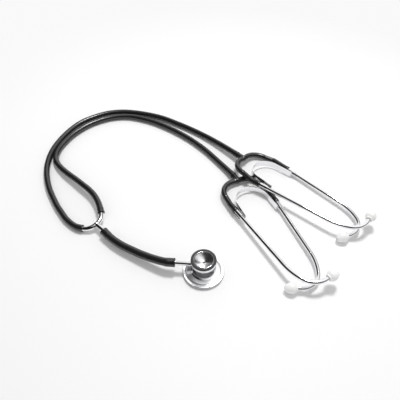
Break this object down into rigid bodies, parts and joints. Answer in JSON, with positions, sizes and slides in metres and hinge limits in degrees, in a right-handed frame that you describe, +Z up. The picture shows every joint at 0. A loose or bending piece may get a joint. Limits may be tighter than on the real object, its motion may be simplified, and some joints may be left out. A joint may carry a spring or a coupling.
{
  "type": "teaching stethoscope",
  "caption": "Double-headed stethoscope: a two-sided chestpiece feeds, through a Y connector and hoses, two binaural headsets with sprung ear tubes.",
  "frame": {"origin": "centre of the diaphragm side of the chestpiece, in the plane of its rim, which lies on the table", "axes": "+Z up out of the bell side; +X in the table plane, from the chestpiece toward the ear tips that lie lowest; +Y toward the arch of the hoses"},
  "size_m": [0.4107, 0.3127, 0.0235],
  "materials": {
    "chrome": "polished chrome on brass and zinc",
    "spring_steel": "plated spring steel",
    "black_pvc": "soft black vinyl with a slight gloss",
    "ring_rubber": "matte black rubber",
    "membrane": "thin pale plastic sheet",
    "tip_white": "soft white vinyl, slightly translucent"
  },
  "bodies": {
    "tubing": {"stem": "chrome", "chest_hose": "black_pvc", "y_connector": "chrome", "trunk_hose_a": "black_pvc", "trunk_hose_b": "black_pvc", "yoke_a": "black_pvc", "yoke_b": "black_pvc", "leaf_spring_a": "spring_steel", "leaf_spring_b": "spring_steel"},
    "chestpiece": {"chestpiece_body": "chrome", "bell_cup": "chrome", "bell_ring": "ring_rubber", "diaphragm": "membrane", "diaphragm_ring": "chrome", "index_ball": "spring_steel", "index_spring": "spring_steel", "index_screw": "spring_steel"},
    "ear_a_low": {"ear_tube_a_low": "chrome", "cuff_a_low": "spring_steel"},
    "tip_a_low": {"ear_tip_a_low": "tip_white"},
    "ear_a_high": {"ear_tube_a_high": "chrome", "cuff_a_high": "spring_steel"},
    "tip_a_high": {"ear_tip_a_high": "tip_white"},
    "ear_b_low": {"ear_tube_b_low": "chrome", "cuff_b_low": "spring_steel"},
    "tip_b_low": {"ear_tip_b_low": "tip_white"},
    "ear_b_high": {"ear_tube_b_high": "chrome", "cuff_b_high": "spring_steel"},
    "tip_b_high": {"ear_tip_b_high": "tip_white"}
  },
  "joints": [
    {"name": "chestpiece_turn", "type": "hinge", "parent": "tubing", "child": "chestpiece", "pos_m": [0, 0, 0.014], "axis": [-0.9966, 0.0819, 0], "continuous": true},
    {"name": "open_a_low", "type": "hinge", "parent": "tubing", "child": "ear_a_low", "pos_m": [0.0729, 0.15425, 0.0044], "axis": [0, 0, 1], "range_deg": [0, 40], "stiffness_Nm_per_rad": 0.4, "deforming": ["leaf_spring_a", "yoke_a"]},
    {"name": "tip_turn_a_low", "type": "hinge", "parent": "ear_a_low", "child": "tip_a_low", "pos_m": [0.16515, 0.04462, 0.00637], "axis": [-0.9443, -0.3289, -0.006], "continuous": true},
    {"name": "open_a_high", "type": "hinge", "parent": "tubing", "child": "ear_a_high", "pos_m": [0.0729, 0.15425, 0.0128], "axis": [-0.0949, -0.1018, -0.9903], "range_deg": [0, 40], "stiffness_Nm_per_rad": 0.4, "deforming": ["leaf_spring_a", "yoke_a"]},
    {"name": "tip_turn_a_high", "type": "hinge", "parent": "ear_a_high", "child": "tip_a_high", "pos_m": [0.19016, 0.05932, 0.01711], "axis": [0.6022, 0.7976, 0.034], "continuous": true},
    {"name": "open_b_low", "type": "hinge", "parent": "tubing", "child": "ear_b_low", "pos_m": [0.0543, 0.1116, 0.0044], "axis": [0, 0, 1], "range_deg": [0, 14], "stiffness_Nm_per_rad": 0.4, "deforming": ["leaf_spring_b", "yoke_b"]},
    {"name": "tip_turn_b_low", "type": "hinge", "parent": "ear_b_low", "child": "tip_b_low", "pos_m": [0.09813, -0.02448, 0.00637], "axis": [-0.9985, 0.054, -0.006], "continuous": true},
    {"name": "open_b_high", "type": "hinge", "parent": "tubing", "child": "ear_b_high", "pos_m": [0.0543, 0.1116, 0.0072], "axis": [-0.1258, -0.0595, -0.9903], "range_deg": [0, 32], "stiffness_Nm_per_rad": 0.4, "deforming": ["leaf_spring_b", "yoke_b"]},
    {"name": "tip_turn_b_high", "type": "hinge", "parent": "ear_b_high", "child": "tip_b_high", "pos_m": [0.12892, -0.01892, 0.01695], "axis": [0.8492, 0.5271, 0.0326], "continuous": true}
  ]
}
